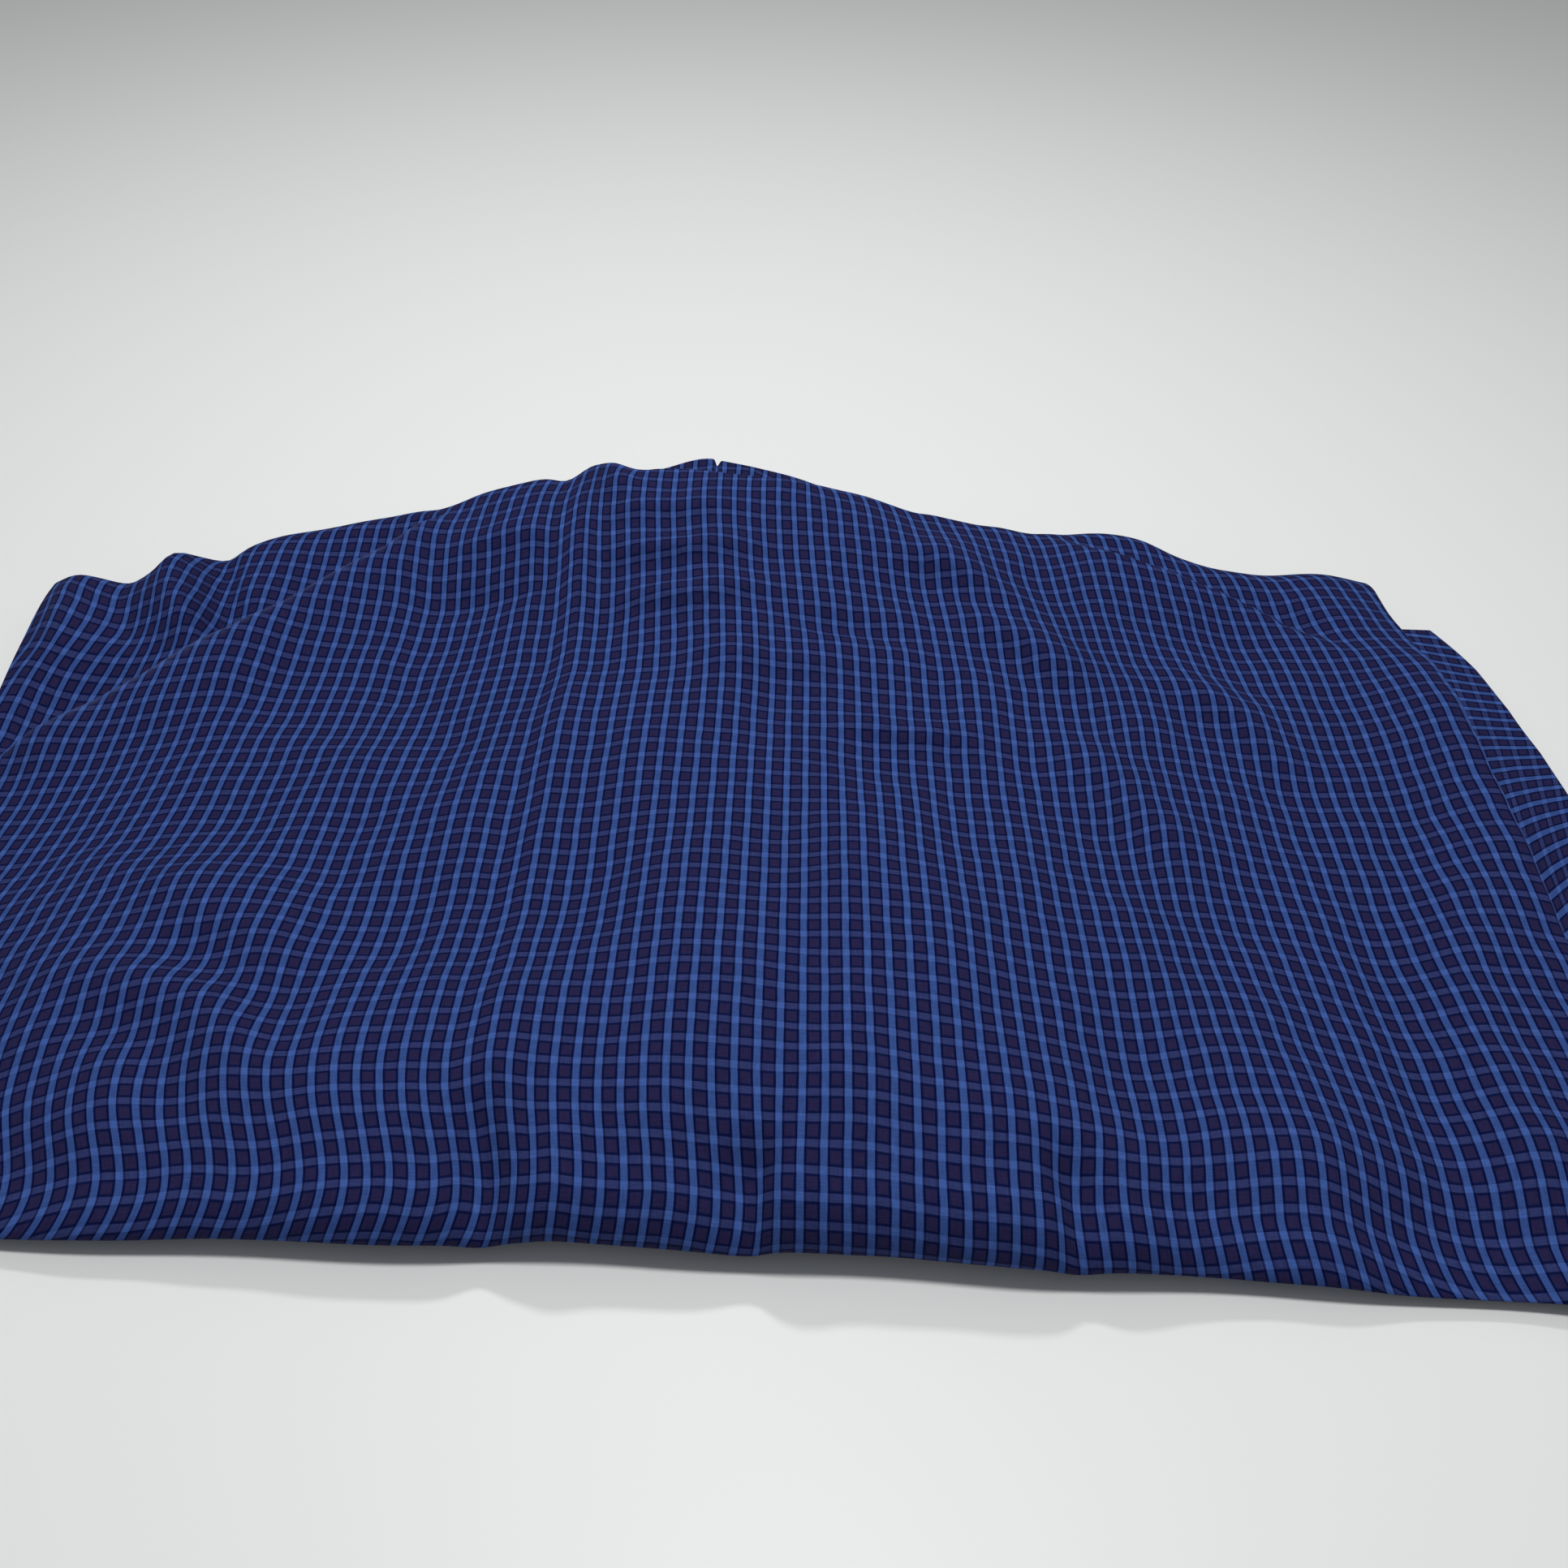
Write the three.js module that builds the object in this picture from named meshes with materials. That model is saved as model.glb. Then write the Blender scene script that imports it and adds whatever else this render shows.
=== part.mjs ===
// A length of woven check shirting, folded into plies and laid on a table.
// Millimetres. X runs across the width, Y from the front fold to the hem, Z up from the table.
// The origin is on the table, at the middle of the pile.
import * as THREE from "three";

// Driving dimensions
const leftReach = 410; // origin to the top ply's left cut edge
const rightReach = 357; // origin to the top ply's right edge
const cornerTaper = 16; // how much nearer the top ply's right edge comes at its back corner
const taperStart = 0.7; // where that starts, as a share of the way to the hem
const frontReach = 245; // origin to the middle of the front fold
const backReach = 233; // origin to the back of the crest
const plyThickness = 1.2; // doubled shirting with the air between its faces
const clearance = 0.4; // between plies that touch
const bulgeHeight = 46; // rise that the mounds are shares of
const frontFoldDepth = 20; // front of the fold to where the top ply lies level
const hemFall = 23; // how far behind the crest cloth comes down to the table
const hemHeight = 1; // underside of the hem above the table
const hemTuck = 4; // how far the top ply's hem dips where the inner ply shows behind it
const lowerLeftReach = 300; // origin to the left edges of the flat lower plies
const lowerRightReach = 334; // origin to the right edges of the flat lower plies
const lowerBackReach = 168; // origin to the back fold's inside
const backFoldDepth = 5; // inside to outside of the back fold
const innerHalfWidth = 150; // half the width of the ply laid over the bunched folds
const innerDrop = 5; // top ply's upper face down to the inner ply's upper face
const innerFront = 205; // origin to the front edge of the inner ply
const peekCentre = -25; // middle of the stretch where the inner ply shows behind the hem
const peekHalfWidth = 80; // half that stretch
const peekReach = 10; // how far behind the crest the inner ply stays level
const bunchDrop = 10; // top ply's upper face down to the bunched folds under the inner ply
const sideDrop = 5; // top ply's upper face down to bunched cloth with no ply between
const bunchGap = 6; // sideways, between one bunched fold and the next
const bunchCount = 4; // folds of bunched cloth under the inner ply
const bunchEdgeShare = 0.25; // height of a bunch's blunt edge, as a share of its full height
const leftBunchReach = 290; // origin to the left edge of the bunch under the left front
const leftBunchFront = 220; // origin to that bunch's front edge
const leftBunchBack = 70; // origin forward to that bunch's back edge
const rightBunchReach = 330; // origin to the right edge of the bunch along the right edge
const rightBunchWidth = 40; // width of that bunch
const rightBunchBack = 150; // origin to that bunch's back edge
const edgeDroop = 24; // width of the strip that sags at each side of the top ply
const edgeShare = 0.45; // share of the rise that is left at the very edge
const turnedPlyReach = 410; // origin to the outer edge of the ply whose grain is turned
const turnedPlyInner = 340; // origin to the hidden edge of that ply
const turnedPlyBack = 163; // origin to its back corner
const turnedPlyFront = 180; // origin to its front corner
const turnedPlyBow = 42; // how far its outer edge curves in at the back corner
const steppedPlyInset = 18; // the ply under it shows this much less

// Faces that the slabs are made of
const columnPitch = 27.4; // width of one face of the top ply and the front fold
const topRows = 22; // from the front fold to the hem
const topFallRows = 3; // of those, the rows behind the crest
const innerRows = 18;
const innerFallRows = 4;
const rollRows = 8; // round the front fold
const backFoldRows = 6; // round the back fold
const flatColumns = 12;
const bunchColumns = 4;
const bunchRows = 10;

// The top ply's hem stays tucked for one face past each edge of the ply that shows behind it
const tuckReach = peekHalfWidth + columnPitch;
const hemTuckSlope = 0.25; // how far the tucked hem goes down, as a share of how far it goes back
const narrowStart = 0.6; // where the inner ply starts to narrow, as a share of its way back
const narrowEnd = 0.9;

// Heights of the flat plies
const bottomTop = plyThickness;
const middleUnder = bottomTop + 2 * clearance + plyThickness;
const middleTop = middleUnder + plyThickness;
const bunchBase = middleTop + clearance;
const stackFloor = middleTop + 2 * clearance + 2 * plyThickness;

// Mounds of bunched cloth under the top ply:
// centre, reach along X and along Y, and rise as a share of bulgeHeight
const mounds = [
  { x: 0, y: -235, rx: 220, ry: 130, share: 0.6 },
  { x: 10, y: -80, rx: 150, ry: 100, share: 0.55 },
  { x: 20, y: 70, rx: 160, ry: 80, share: 0.4 },
  { x: -60, y: 215, rx: 180, ry: 100, share: 0.95 },
  { x: 200, y: 180, rx: 120, ry: 80, share: 0.25 },
  { x: -370, y: 130, rx: 80, ry: 90, share: 0.4 },
  { x: -220, y: -150, rx: 150, ry: 110, share: 0.35 },
  { x: 330, y: -40, rx: 80, ry: 240, share: 0.35 },
];

// How far the crest stands in front of backReach, at even steps from the left edge to the right
const crestSetbacks = [90, 35, 5, 0, 15, 20, 40];
const crestSetback = new THREE.SplineCurve(
  crestSetbacks.map((back, i) => new THREE.Vector2(i / (crestSetbacks.length - 1), back)),
);

const smooth = (low, high, value) => THREE.MathUtils.smoothstep(value, low, high);
const mix = THREE.MathUtils.lerp;

// Height of the top ply's upper face above the table
function pileTop(x, y) {
  let rise = 0;
  for (const m of mounds) {
    rise += m.share * bulgeHeight * Math.exp(-(((x - m.x) / m.rx) ** 2) - ((y - m.y) / m.ry) ** 2);
  }
  const toSide = Math.min(x + leftReach, rightReach - x);
  return stackFloor + rise * mix(edgeShare, 1, smooth(0, edgeDroop, toSide));
}

// Front line of the front fold, a little bowed and slanting forward to the right
const frontBow = 8;
const frontSlant = 5;
function frontLine(x) {
  return -frontReach - frontBow * (x / leftReach) ** 2 - (frontSlant * x) / rightReach;
}

// Line along which the hem starts to fall behind the pile
function crestLine(x) {
  const along = (x + leftReach) / (leftReach + rightReach);
  return backReach - crestSetback.getPoint(THREE.MathUtils.clamp(along, 0, 1)).y;
}

// A closed slab: a box with a grid of faces, whose points a function then places.
// place(s, t, w) gets shares across, along and up, each from 0 to 1.
function slab(name, colour, across, along, place) {
  const geometry = new THREE.BoxGeometry(1, 1, 1, across, along, 1);
  const points = geometry.getAttribute("position");
  for (let i = 0; i < points.count; i++) {
    const [x, y, z] = place(points.getX(i) + 0.5, points.getY(i) + 0.5, points.getZ(i) + 0.5);
    points.setXYZ(i, x, y, z);
  }
  geometry.computeVertexNormals();
  const cloth = new THREE.MeshStandardMaterial({ color: colour, roughness: 0.9, metalness: 0 });
  const mesh = new THREE.Mesh(geometry, cloth);
  mesh.name = name;
  return mesh;
}

const checkColour = 0x2a3462;
const shadedColour = 0x222a50;

// How far cloth has turned down behind the crest: a share of the fall, to [behind, down]
function fallBehind(share, depth, drop) {
  const turn = (share * Math.PI) / 2;
  return [depth * Math.sin(turn), drop * (1 - Math.cos(turn))];
}

const topColumns = Math.round((leftReach + rightReach) / columnPitch);

// The ply that shows: level over the pile, then falling behind the crest to its hem
function topPly() {
  const levelShare = (topRows - topFallRows) / topRows;
  return slab("top_ply", checkColour, topColumns, topRows, (s, t, w) => {
    const x = mix(-leftReach, rightReach - cornerTaper * smooth(taperStart, 1, t), s);
    const start = frontLine(x) + frontFoldDepth + clearance;
    const crest = crestLine(x);
    const inset = (1 - w) * plyThickness;
    if (t <= levelShare + 1e-6) {
      const y = mix(start, crest, t / levelShare);
      return [x, y, pileTop(x, y) - inset];
    }
    const tucked = Math.abs(x - peekCentre) < tuckReach;
    const fullDrop = pileTop(x, crest) - hemHeight - plyThickness;
    const depth = tucked ? hemTuck : hemFall - inset;
    const drop = tucked ? hemTuck * hemTuckSlope : fullDrop;
    const [behind, down] = fallBehind((t - levelShare) / (1 - levelShare), depth, drop);
    return [x, crest + behind, pileTop(x, crest) - inset - down];
  });
}

// The soft roll at the front, from the top ply round to the middle ply
function frontFold() {
  return slab("front_fold", checkColour, topColumns, rollRows, (s, t, w) => {
    const x = mix(-leftReach, rightReach, s);
    const centreY = frontLine(x) + frontFoldDepth;
    const top = pileTop(x, centreY + clearance);
    const halfHeight = (top - middleUnder) / 2;
    const inset = (1 - w) * plyThickness;
    const turn = (1 - t) * Math.PI;
    const y = centreY - (frontFoldDepth - inset) * Math.sin(turn);
    return [x, y, middleUnder + halfHeight + (halfHeight - inset) * Math.cos(turn)];
  });
}

// A flat ply, from the front fold to the back fold
function flatPly(name, under) {
  return slab(name, shadedColour, flatColumns, 1, (s, t, w) => {
    const x = mix(-lowerLeftReach, lowerRightReach, s);
    const y = mix(frontLine(x) + frontFoldDepth + clearance, lowerBackReach, t);
    return [x, y, under + w * plyThickness];
  });
}

// The tight fold at the back, from the bottom ply round to the middle ply
function backFold() {
  return slab("back_fold", shadedColour, flatColumns, backFoldRows, (s, t, w) => {
    const halfHeight = middleTop / 2;
    const inset = (1 - w) * plyThickness;
    const turn = t * Math.PI;
    const y = lowerBackReach + clearance + (backFoldDepth - inset) * Math.sin(turn);
    return [mix(-lowerLeftReach, lowerRightReach, s), y, halfHeight + (halfHeight - inset) * Math.cos(turn)];
  });
}

// The ply over the bunched folds; it runs out behind the crest, where it shows, and falls
function innerPly() {
  const levelShare = (innerRows - innerFallRows) / innerRows;
  return slab("inner_ply", shadedColour, flatColumns, innerRows, (s, t, w) => {
    const toBack = Math.min(1, t / levelShare);
    const narrowed = smooth(narrowStart, narrowEnd, toBack);
    const left = mix(-innerHalfWidth, peekCentre - peekHalfWidth, narrowed);
    const right = mix(innerHalfWidth, peekCentre + peekHalfWidth, narrowed);
    const x = mix(left, right, s);
    const end = crestLine(x) + peekReach;
    const inset = (1 - w) * plyThickness;
    const level = pileTop(x, Math.min(mix(-innerFront, end, toBack), crestLine(x))) - innerDrop;
    const fallShare = Math.max(0, (t - levelShare) / (1 - levelShare));
    const depth = hemFall - peekReach - inset;
    const [behind, down] = fallBehind(fallShare, depth, level - hemHeight - plyThickness);
    return [x, mix(-innerFront, end, toBack) + behind, level - inset - down];
  });
}

// One soft dome of bunched cloth lying on the middle ply
function bunch(name, left, right, front, back, drop) {
  return slab(name, shadedColour, bunchColumns, bunchRows, (s, t, w) => {
    const x = mix(left, right, s);
    const y = mix(front, back, t);
    const across = 1 - Math.abs(2 * s - 1) ** 3;
    const along = 1 - Math.abs(2 * t - 1) ** 6;
    const rise = pileTop(x, y) - drop - bunchBase;
    return [x, y, bunchBase + w * rise * mix(bunchEdgeShare, 1, Math.min(across, along))];
  });
}

// Folds side by side under the inner ply, running from front to back
function bunchedFolds() {
  const pitch = (2 * innerHalfWidth) / bunchCount;
  const folds = [];
  for (let i = 0; i < bunchCount; i++) {
    const left = -innerHalfWidth + i * pitch + bunchGap / 2;
    const right = left + pitch - bunchGap;
    folds.push(bunch(`bunched_fold_${i + 1}`, left, right, -innerFront, lowerBackReach, bunchDrop));
  }
  return folds;
}

// Bunched cloth under the left front
function leftFrontBunch() {
  const right = -innerHalfWidth - bunchGap;
  return bunch("left_front_bunch", -leftBunchReach, right, -leftBunchFront, -leftBunchBack, sideDrop);
}

// Bunched cloth along the right edge
function rightEdgeBunch() {
  const left = rightBunchReach - rightBunchWidth;
  return bunch("right_edge_bunch", left, rightBunchReach, -innerFront, rightBunchBack, sideDrop);
}

// Lower plies at the right, whose grain is turned: they show beyond the top ply's edge
function turnedPly(name, under, inset) {
  return slab(name, shadedColour, bunchColumns, bunchRows, (s, t, w) => {
    const y = mix(-turnedPlyFront, turnedPlyBack - inset / 2, t);
    const outer = turnedPlyReach - inset - turnedPlyBow * (y / turnedPlyBack) ** 2;
    return [mix(turnedPlyInner, outer, s), y, under + w * plyThickness];
  });
}

const part = new THREE.Group();
part.add(flatPly("bottom_ply", 0));
part.add(flatPly("middle_ply", middleUnder));
part.add(backFold());
part.add(turnedPly("right_stepped_ply", 0, steppedPlyInset));
part.add(turnedPly("right_turned_ply", bottomTop + clearance, 0));
part.add(...bunchedFolds());
part.add(leftFrontBunch());
part.add(rightEdgeBunch());
part.add(innerPly());
part.add(topPly());
part.add(frontFold());

export default part;
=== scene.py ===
import math

import bpy
import numpy as np
from mathutils import Matrix, Vector
from mathutils.bvhtree import BVHTree


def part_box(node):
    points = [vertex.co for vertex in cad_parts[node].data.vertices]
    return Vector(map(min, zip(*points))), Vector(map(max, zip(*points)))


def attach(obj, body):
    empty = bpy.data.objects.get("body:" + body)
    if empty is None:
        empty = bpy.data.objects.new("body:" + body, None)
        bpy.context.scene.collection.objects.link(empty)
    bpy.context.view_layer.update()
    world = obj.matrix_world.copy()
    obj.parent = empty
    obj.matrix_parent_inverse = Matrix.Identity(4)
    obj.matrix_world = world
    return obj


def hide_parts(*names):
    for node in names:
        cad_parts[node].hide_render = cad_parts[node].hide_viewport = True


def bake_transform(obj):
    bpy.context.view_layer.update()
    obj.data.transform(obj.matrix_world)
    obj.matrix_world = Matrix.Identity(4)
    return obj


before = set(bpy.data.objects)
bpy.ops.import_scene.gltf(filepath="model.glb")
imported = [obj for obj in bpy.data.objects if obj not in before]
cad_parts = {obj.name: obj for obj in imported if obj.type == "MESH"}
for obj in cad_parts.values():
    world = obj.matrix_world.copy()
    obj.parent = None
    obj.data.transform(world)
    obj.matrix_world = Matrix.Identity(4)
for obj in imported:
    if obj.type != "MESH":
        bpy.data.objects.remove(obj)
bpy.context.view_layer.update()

mm = 0.001
warpRepeat = 9.0 * mm  # across the cloth
weftRepeat = 10.35 * mm  # along it
clothThickness = 0.6 * mm
clothMap = "clothMap"
smoothAngle = 50  # degrees
acrossPasses, alongPasses = 50, 6  # how much the counted check is evened out


def smooth(low, high, value):
    share = np.clip((value - low) / (high - low), 0, 1)
    return share * share * (3 - 2 * share)


def mix(a, b, share):
    return a + (b - a) * share


def softened(values, passes, axis):
    # a three-point average along one axis, the ends kept
    for _ in range(passes):
        padded = np.concatenate([values.take([0], axis), values, values.take([-1], axis)], axis)
        count = values.shape[axis]
        before = padded.take(range(count), axis)
        after = padded.take(range(2, count + 2), axis)
        values = (before + 2 * values + after) / 4
    return values


# Camera

view = {"place": (0, -0.538, 0.528), "pitch": 43.1, "roll": 1.63, "lens": 34.8, "sensor": 36}


def addCamera():
    bpy.ops.object.select_all(action="DESELECT")
    bpy.ops.object.camera_add()
    camera = bpy.context.object
    camera.name = "viewCamera"
    camera.data.lens = view["lens"]
    camera.data.sensor_width = view["sensor"]
    turn = Matrix.Rotation(math.radians(90 - view["pitch"]), 4, "X")
    lean = Matrix.Rotation(math.radians(view["roll"]), 4, "Z")
    camera.matrix_world = Matrix.Translation(view["place"]) @ turn @ lean
    bpy.context.scene.camera = camera


addCamera()
print("camera placed")


# Table and light

studio = {
    "tableSize": 6.0,
    "tableDrop": 0.1 * mm,
    "tableColour": (0.74, 0.745, 0.735, 1),
    "tableRoughness": 0.45,
    "worldColour": (0.95, 0.98, 1.0, 1),
    "worldStrength": 0.27,
    "aim": (0, -0.05, 0),
    "overheadPlace": (0.06, -0.15, 1.75),
    "overheadSize": 0.26,
    "overheadPower": 18.0,
    "backPlace": (-0.15, 0.75, 1.2),
    "backSize": 0.14,
    "backPower": 6.4,
}


def addTable():
    bpy.ops.object.select_all(action="DESELECT")
    bpy.ops.mesh.primitive_plane_add(size=studio["tableSize"], location=(0, 0, -studio["tableDrop"]))
    table = bpy.context.object
    table.name = "table"
    finish = bpy.data.materials.new("tableFinish")
    finish.use_nodes = True
    shader = finish.node_tree.nodes["Principled BSDF"]
    shader.inputs["Base Color"].default_value = studio["tableColour"]
    shader.inputs["Roughness"].default_value = studio["tableRoughness"]
    table.data.materials.append(finish)


def addLamp(kind):
    bpy.ops.object.select_all(action="DESELECT")
    place = studio[kind + "Place"]
    bpy.ops.object.light_add(type="AREA", location=place)
    lamp = bpy.context.object
    lamp.name = kind + "Lamp"
    lamp.data.shape = "DISK"
    lamp.data.size = studio[kind + "Size"]
    lamp.data.energy = studio[kind + "Power"]
    beam = Vector(studio["aim"]) - Vector(place)
    lamp.rotation_euler = beam.to_track_quat("-Z", "Y").to_euler()


def addWorld():
    world = bpy.data.worlds.new("studioWorld")
    world.use_nodes = True
    backdrop = world.node_tree.nodes["Background"]
    backdrop.inputs["Color"].default_value = studio["worldColour"]
    backdrop.inputs["Strength"].default_value = studio["worldStrength"]
    bpy.context.scene.world = world
    bpy.context.scene.view_settings.view_transform = "Standard"


addTable()
addLamp("overhead")
addLamp("back")
addWorld()
print("table and light ready")


# Cloth finish

weave = {
    "ground": (0.0080, 0.0125, 0.053, 1),
    "plum": (0.0165, 0.0135, 0.054, 1),
    "line": (0.0008, 0.0030, 0.036, 1),
    "warpBand": (0.030, 0.064, 0.215, 1),
    "weftBand": (0.024, 0.032, 0.112, 1),
    "crossing": (0.043, 0.092, 0.300, 1),
    # painted highlight: the lighter blue laid along fold crests and the folded right edge
    "edge": (0.085, 0.125, 0.300, 1),
    "warpHalf": 0.155,  # half a band, in repeats
    "weftHalf": 0.150,
    "blur": 0.022,
    "lineHalf": 0.055,
    "lineFade": (0.5, 1.3),  # in halves of the line
    "plumFrom": (0.22, 0.32),  # in repeats from a band's middle
    "weftLineStrength": 0.75,
    "warpLineStrength": (0.95, 0.55),  # off a weft band, and on it
    "wobble": 0.09,
    "wobbleScale": 0.55,
    "warpThreads": 30,  # in a repeat
    "weftThreads": 26,
    "dyeLength": 1.5,  # changes of dye along a thread, in a repeat
    "dyeRange": (0.6, 1.4),
    "dyeTone": (0.78, 1.24),
    "threadTone": 0.10,
    "threadRelief": 0.15,
    "puckerScale": 1.3,
    "bumpStrength": 0.35,
    "bumpDepth": 0.6 * mm,
    "roughness": 0.82,
    "specular": 0.03,
    "sheen": 0.02,
    "sheenRoughness": 0.5,
    "sheenTint": (0.45, 0.55, 0.9, 1),
}


class nodeDesk:
    # short ways to add and join the nodes of one material

    def __init__(self, material):
        self.nodes = material.node_tree.nodes
        self.links = material.node_tree.links

    def put(self, kind, inputs={}, **settings):
        node = self.nodes.new(kind)
        for name, value in settings.items():
            setattr(node, name, value)
        for socket, value in inputs.items():
            if isinstance(value, bpy.types.NodeSocket):
                self.links.new(value, node.inputs[socket])
            else:
                node.inputs[socket].default_value = value
        return node

    def sums(self, operation, a, b=0.0, c=0.0):
        return self.put("ShaderNodeMath", {0: a, 1: b, 2: c}, operation=operation).outputs[0]

    def fade(self, value, low, high, start=0.0, end=1.0):
        inputs = {"Value": value, "From Min": low, "From Max": high, "To Min": start, "To Max": end}
        ramp = self.put("ShaderNodeMapRange", inputs, interpolation_type="SMOOTHSTEP")
        return ramp.outputs["Result"]

    def vector(self, operation, a, b):
        return self.put("ShaderNodeVectorMath", {0: a, 1: b}, operation=operation).outputs[0]

    def scaled(self, a, amount):
        return self.put("ShaderNodeVectorMath", {0: a, "Scale": amount}, operation="SCALE").outputs[0]

    def noise(self, place, scale, detail):
        return self.put("ShaderNodeTexNoise", {"Vector": place, "Scale": scale, "Detail": detail})

    def blendColour(self, share, a, b):
        # colours use the mix node's inputs 6 and 7 and its output 2
        return self.put("ShaderNodeMix", {0: share, 6: a, 7: b}, data_type="RGBA").outputs[2]


def bandAndLine(desk, off, half):
    # a band round the repeat's middle, and the thin dark line on each side of it
    blur, lineHalf = weave["blur"], weave["lineHalf"]
    band = desk.fade(off, half - blur, half + blur, 1, 0)
    lineOff = desk.sums("ABSOLUTE", desk.sums("SUBTRACT", off, half + lineHalf))
    low, high = weave["lineFade"]
    return band, desk.fade(lineOff, lineHalf * low, lineHalf * high, 1, 0)


def makeWeave(name, shade):
    finish = bpy.data.materials.new(name)
    finish.use_nodes = True
    desk = nodeDesk(finish)
    shader = finish.node_tree.nodes["Principled BSDF"]
    place = desk.put("ShaderNodeUVMap", uv_map=clothMap).outputs["UV"]

    # threads wander a little from straight
    drift = desk.noise(place, weave["wobbleScale"], 2.0)
    centred = desk.vector("SUBTRACT", drift.outputs["Color"], (0.5, 0.5, 0.5))
    moved = desk.vector("ADD", place, desk.scaled(centred, weave["wobble"]))
    parts = desk.put("ShaderNodeSeparateXYZ", {"Vector": moved})
    across, along = parts.outputs["X"], parts.outputs["Y"]
    warpOff = desk.sums("PINGPONG", across, 0.5)
    weftOff = desk.sums("PINGPONG", along, 0.5)
    warp, warpLine = bandAndLine(desk, warpOff, weave["warpHalf"])
    weft, weftLine = bandAndLine(desk, weftOff, weave["weftHalf"])

    # the ground is navy with plum squares between the bands
    squares = [desk.fade(off, *weave["plumFrom"]) for off in (warpOff, weftOff)]
    square = desk.sums("MULTIPLY", *squares)
    colour = desk.blendColour(square, weave["ground"], weave["plum"])
    weftLine = desk.sums("MULTIPLY", weftLine, weave["weftLineStrength"])
    colour = desk.blendColour(weftLine, colour, weave["line"])
    colour = desk.blendColour(weft, colour, weave["weftBand"])
    warpLine = desk.sums("MULTIPLY", warpLine, desk.fade(weft, 0.0, 1.0, *weave["warpLineStrength"]))
    colour = desk.blendColour(warpLine, colour, weave["line"])
    colour = desk.blendColour(warp, colour, weave["warpBand"])
    colour = desk.blendColour(desk.sums("MULTIPLY", warp, weft), colour, weave["crossing"])

    # threads: uneven dye along each one, and the grid that they weave
    lengthways = desk.vector("MULTIPLY", moved, (weave["warpThreads"], weave["dyeLength"], 1))
    crossways = desk.vector("MULTIPLY", moved, (weave["dyeLength"], weave["weftThreads"], 1))
    dyes = [desk.noise(way, 1.0, 1.0).outputs[0] for way in (lengthways, crossways)]
    dye = desk.fade(desk.sums("ADD", *dyes), *weave["dyeRange"], *weave["dyeTone"])
    warpWave = desk.sums("SINE", desk.sums("MULTIPLY", across, 2 * math.pi * weave["warpThreads"]))
    weftWave = desk.sums("SINE", desk.sums("MULTIPLY", along, 2 * math.pi * weave["weftThreads"]))
    threads = desk.sums("MULTIPLY", warpWave, weftWave)
    shadeOfThreads = desk.sums("MULTIPLY_ADD", threads, weave["threadTone"], 1.0)
    # shade dims a whole copy of the weave: painted shade for plies that lie lower
    tone = desk.sums("MULTIPLY", desk.sums("MULTIPLY", dye, shadeOfThreads), shade)

    # painted highlight: fold crests and the folded right edge are mixed towards a lighter blue
    paintedHighlight = desk.put("ShaderNodeAttribute", attribute_name="paintedHighlight").outputs["Fac"]
    colour = desk.blendColour(paintedHighlight, desk.scaled(colour, tone), weave["edge"])

    pucker = desk.noise(place, weave["puckerScale"], 3.0).outputs[0]
    relief = desk.sums("MULTIPLY_ADD", threads, weave["threadRelief"], pucker)
    bumpInputs = {"Height": relief, "Strength": weave["bumpStrength"], "Distance": weave["bumpDepth"]}
    bump = desk.put("ShaderNodeBump", bumpInputs)
    desk.links.new(colour, shader.inputs["Base Color"])
    desk.links.new(bump.outputs["Normal"], shader.inputs["Normal"])
    shader.inputs["Roughness"].default_value = weave["roughness"]
    shader.inputs["Specular IOR Level"].default_value = weave["specular"]
    shader.inputs["Sheen Weight"].default_value = weave["sheen"]
    shader.inputs["Sheen Roughness"].default_value = weave["sheenRoughness"]
    shader.inputs["Sheen Tint"].default_value = weave["sheenTint"]
    return finish


checkFinish = makeWeave("checkWeave", 1.0)
# painted shade: the inner, lower, stepped and bunched plies use a copy darkened to 0.9
shadedInnerFinish = makeWeave("shadedInnerWeave", 0.9)
print("cloth finishes ready")


# Sheets

def laySheet(name, points, repeats, finish, paintedHighlight=None):
    # points and repeats are rows of columns; across x along points out of the cloth's right side
    rows, columns = points.shape[:2]
    bpy.ops.object.select_all(action="DESELECT")
    bpy.ops.mesh.primitive_grid_add(x_subdivisions=columns - 1, y_subdivisions=rows - 1, size=1)
    piece = bpy.context.object
    piece.name = piece.data.name = name
    mesh = piece.data
    flat = np.empty(len(mesh.vertices) * 3)
    mesh.vertices.foreach_get("co", flat)
    shares = flat.reshape(-1, 3)[:, :2] + 0.5
    i = np.rint(shares[:, 0] * (columns - 1)).astype(int)
    j = np.rint(shares[:, 1] * (rows - 1)).astype(int)
    mesh.vertices.foreach_set("co", points[j, i].ravel())
    corner = np.empty(len(mesh.loops), int)
    mesh.loops.foreach_get("vertex_index", corner)
    layer = mesh.uv_layers[0] if mesh.uv_layers else mesh.uv_layers.new()
    layer.name = clothMap
    layer.data.foreach_set("uv", repeats[j, i][corner].ravel())
    # share of painted highlight at each point, kept as an attribute for the finish
    highlight = mesh.attributes.new("paintedHighlight", "FLOAT", "POINT")
    if paintedHighlight is not None:
        highlight.data.foreach_set("value", paintedHighlight[j, i].astype(np.float32))
    mesh.materials.append(finish)
    mesh.update()
    solid = piece.modifiers.new("thickness", "SOLIDIFY")
    solid.thickness = clothThickness
    solid.offset = -1
    bpy.ops.object.modifier_apply(modifier="thickness")
    bpy.ops.object.shade_smooth_by_angle(angle=math.radians(smoothAngle))
    return piece


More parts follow.
